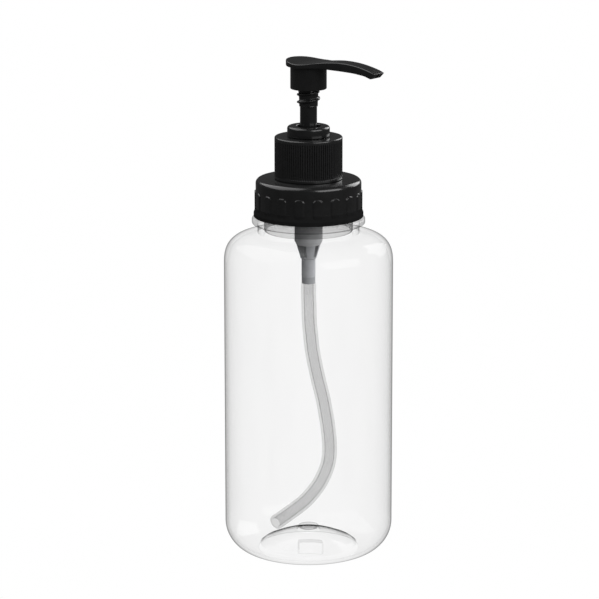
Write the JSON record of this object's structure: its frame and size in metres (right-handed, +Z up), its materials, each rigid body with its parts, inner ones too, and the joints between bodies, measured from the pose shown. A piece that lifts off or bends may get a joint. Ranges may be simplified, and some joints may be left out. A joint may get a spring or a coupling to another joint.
{
  "type": "condiment pump dispenser",
  "caption": "Clear wide-neck bottle with a ribbed screw cap carrying a screw-lock lotion-style pump, turning spout head, return spring, ball valves and curled dip tube.",
  "frame": {"origin": "centre of the bottle's standing ring, on the plane it stands on", "axes": "+Z up along the bottle axis, +X to the right and -Y towards the viewer of the rest pose; the spout is turned 38 degrees from +X towards -Y"},
  "size_m": [0.08, 0.08, 0.2378],
  "materials": {
    "clear_bottle": "clear, polished",
    "smoke_seal": "translucent smoke grey",
    "black_cap": "semi-gloss moulded",
    "black_closure": "satin moulded",
    "black_head": "semi-gloss moulded",
    "gasket_foam": "soft foam",
    "smoke_housing": "translucent dark grey",
    "natural_plastic": "natural moulded",
    "steel_ball": "polished",
    "spring_wire": "bright wire",
    "tube": "translucent natural"
  },
  "bodies": {
    "bottle": {"bottle": "clear_bottle"},
    "cap_seal": {"cap_plug_seal": "smoke_seal"},
    "cap": {"screw_cap": "black_cap"},
    "pump": {"pump_housing": "smoke_housing", "neck_gasket": "gasket_foam", "lock_collar": "black_head", "ball_cage": "natural_plastic", "dip_tube": "tube", "return_spring": "spring_wire"},
    "closure": {"pump_closure": "black_closure"},
    "plunger": {"piston": "natural_plastic", "piston_rod": "natural_plastic"},
    "head": {"stem": "black_head", "outlet_ball_retainer": "natural_plastic", "actuator_head": "black_head"},
    "inlet_valve": {"inlet_ball": "steel_ball"},
    "outlet_valve": {"outlet_ball": "steel_ball"}
  },
  "joints": [
    {"name": "cap_lift", "type": "slide", "parent": "bottle", "child": "cap_seal", "axis": [0, 0, 1], "range_m": [0, 0.0055]},
    {"name": "cap_turn", "type": "hinge", "parent": "cap_seal", "child": "cap", "pos_m": [0, 0, 0.17], "axis": [0, 0, 1], "range_deg": [0, 450]},
    {"name": "pump_lift", "type": "slide", "parent": "cap", "child": "pump", "axis": [0, 0, 1], "range_m": [0, 0.0055]},
    {"name": "closure_turn", "type": "hinge", "parent": "pump", "child": "closure", "pos_m": [0, 0, 0.19], "axis": [0, 0, 1], "range_deg": [0, 450]},
    {"name": "head_stroke", "type": "slide", "parent": "pump", "child": "plunger", "axis": [0, 0, -1], "range_m": [0, 0.012], "stiffness_N_per_m": 250, "springref_m": -0.004, "deforming": ["return_spring"]},
    {"name": "head_swivel", "type": "hinge", "parent": "plunger", "child": "head", "pos_m": [0, 0, 0.22], "axis": [0, 0, 1], "continuous": true},
    {"name": "inlet_ball_lift", "type": "slide", "parent": "pump", "child": "inlet_valve", "axis": [0, 0, 1], "range_m": [0, 0.0025]},
    {"name": "outlet_ball_lift", "type": "slide", "parent": "head", "child": "outlet_valve", "axis": [0, 0, 1], "range_m": [0, 0.0009]}
  ],
  "couplings": [
    {"joint": "cap_lift", "follows": "cap_turn", "m_per_rad": 0.00067322},
    {"joint": "pump_lift", "follows": "closure_turn", "m_per_rad": 0.00067322}
  ]
}
